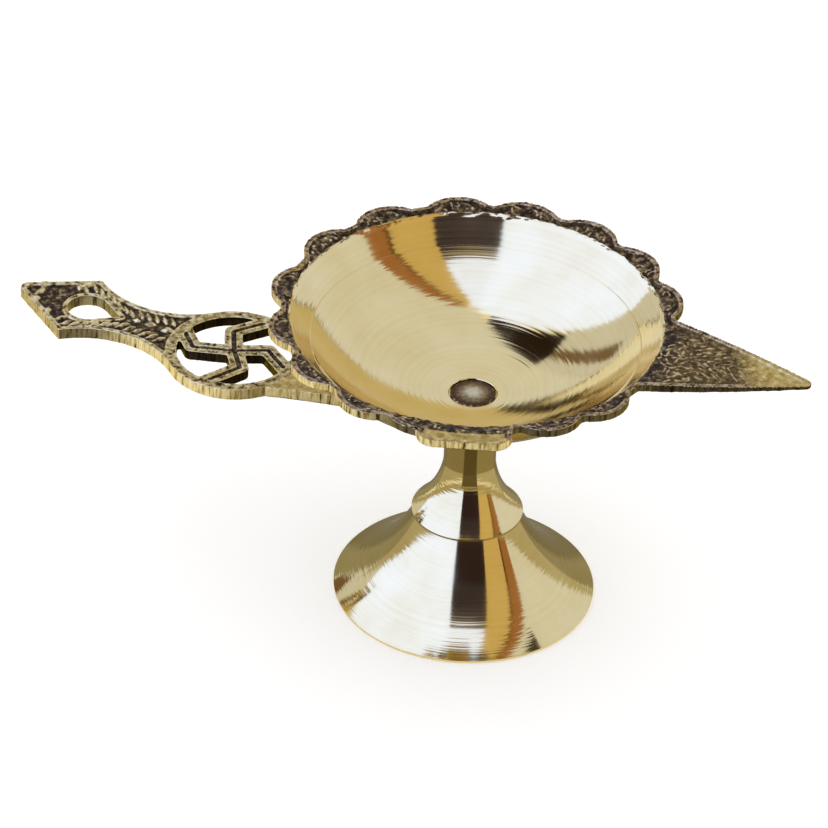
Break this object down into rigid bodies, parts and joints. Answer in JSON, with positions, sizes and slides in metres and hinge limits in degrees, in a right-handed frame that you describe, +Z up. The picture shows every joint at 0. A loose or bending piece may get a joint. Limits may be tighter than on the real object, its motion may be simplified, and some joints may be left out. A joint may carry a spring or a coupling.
{
  "type": "butter lamp",
  "caption": "Brass hand lamp for ghee or oil: turned bowl with a scalloped rim and leaf, flat pierced handle and hollow turned foot, held by a rivet.",
  "frame": {"origin": "middle of the foot's standing ring, on the common axis of foot, rivet and bowl", "axes": "+Z up along that axis, +X towards the tip of the leaf; the handle lies towards -X"},
  "size_m": [0.1627, 0.0831, 0.065],
  "materials": {
    "turned_brass": "turned and polished",
    "antiqued_brass": "cast, darkened in the hollows, rubbed bright on the ridges",
    "dull_brass": "dull, hammered"
  },
  "bodies": {
    "root": {"bowl": "turned_brass", "handle": "antiqued_brass", "foot": "turned_brass", "rivet": "dull_brass"}
  },
  "joints": []
}
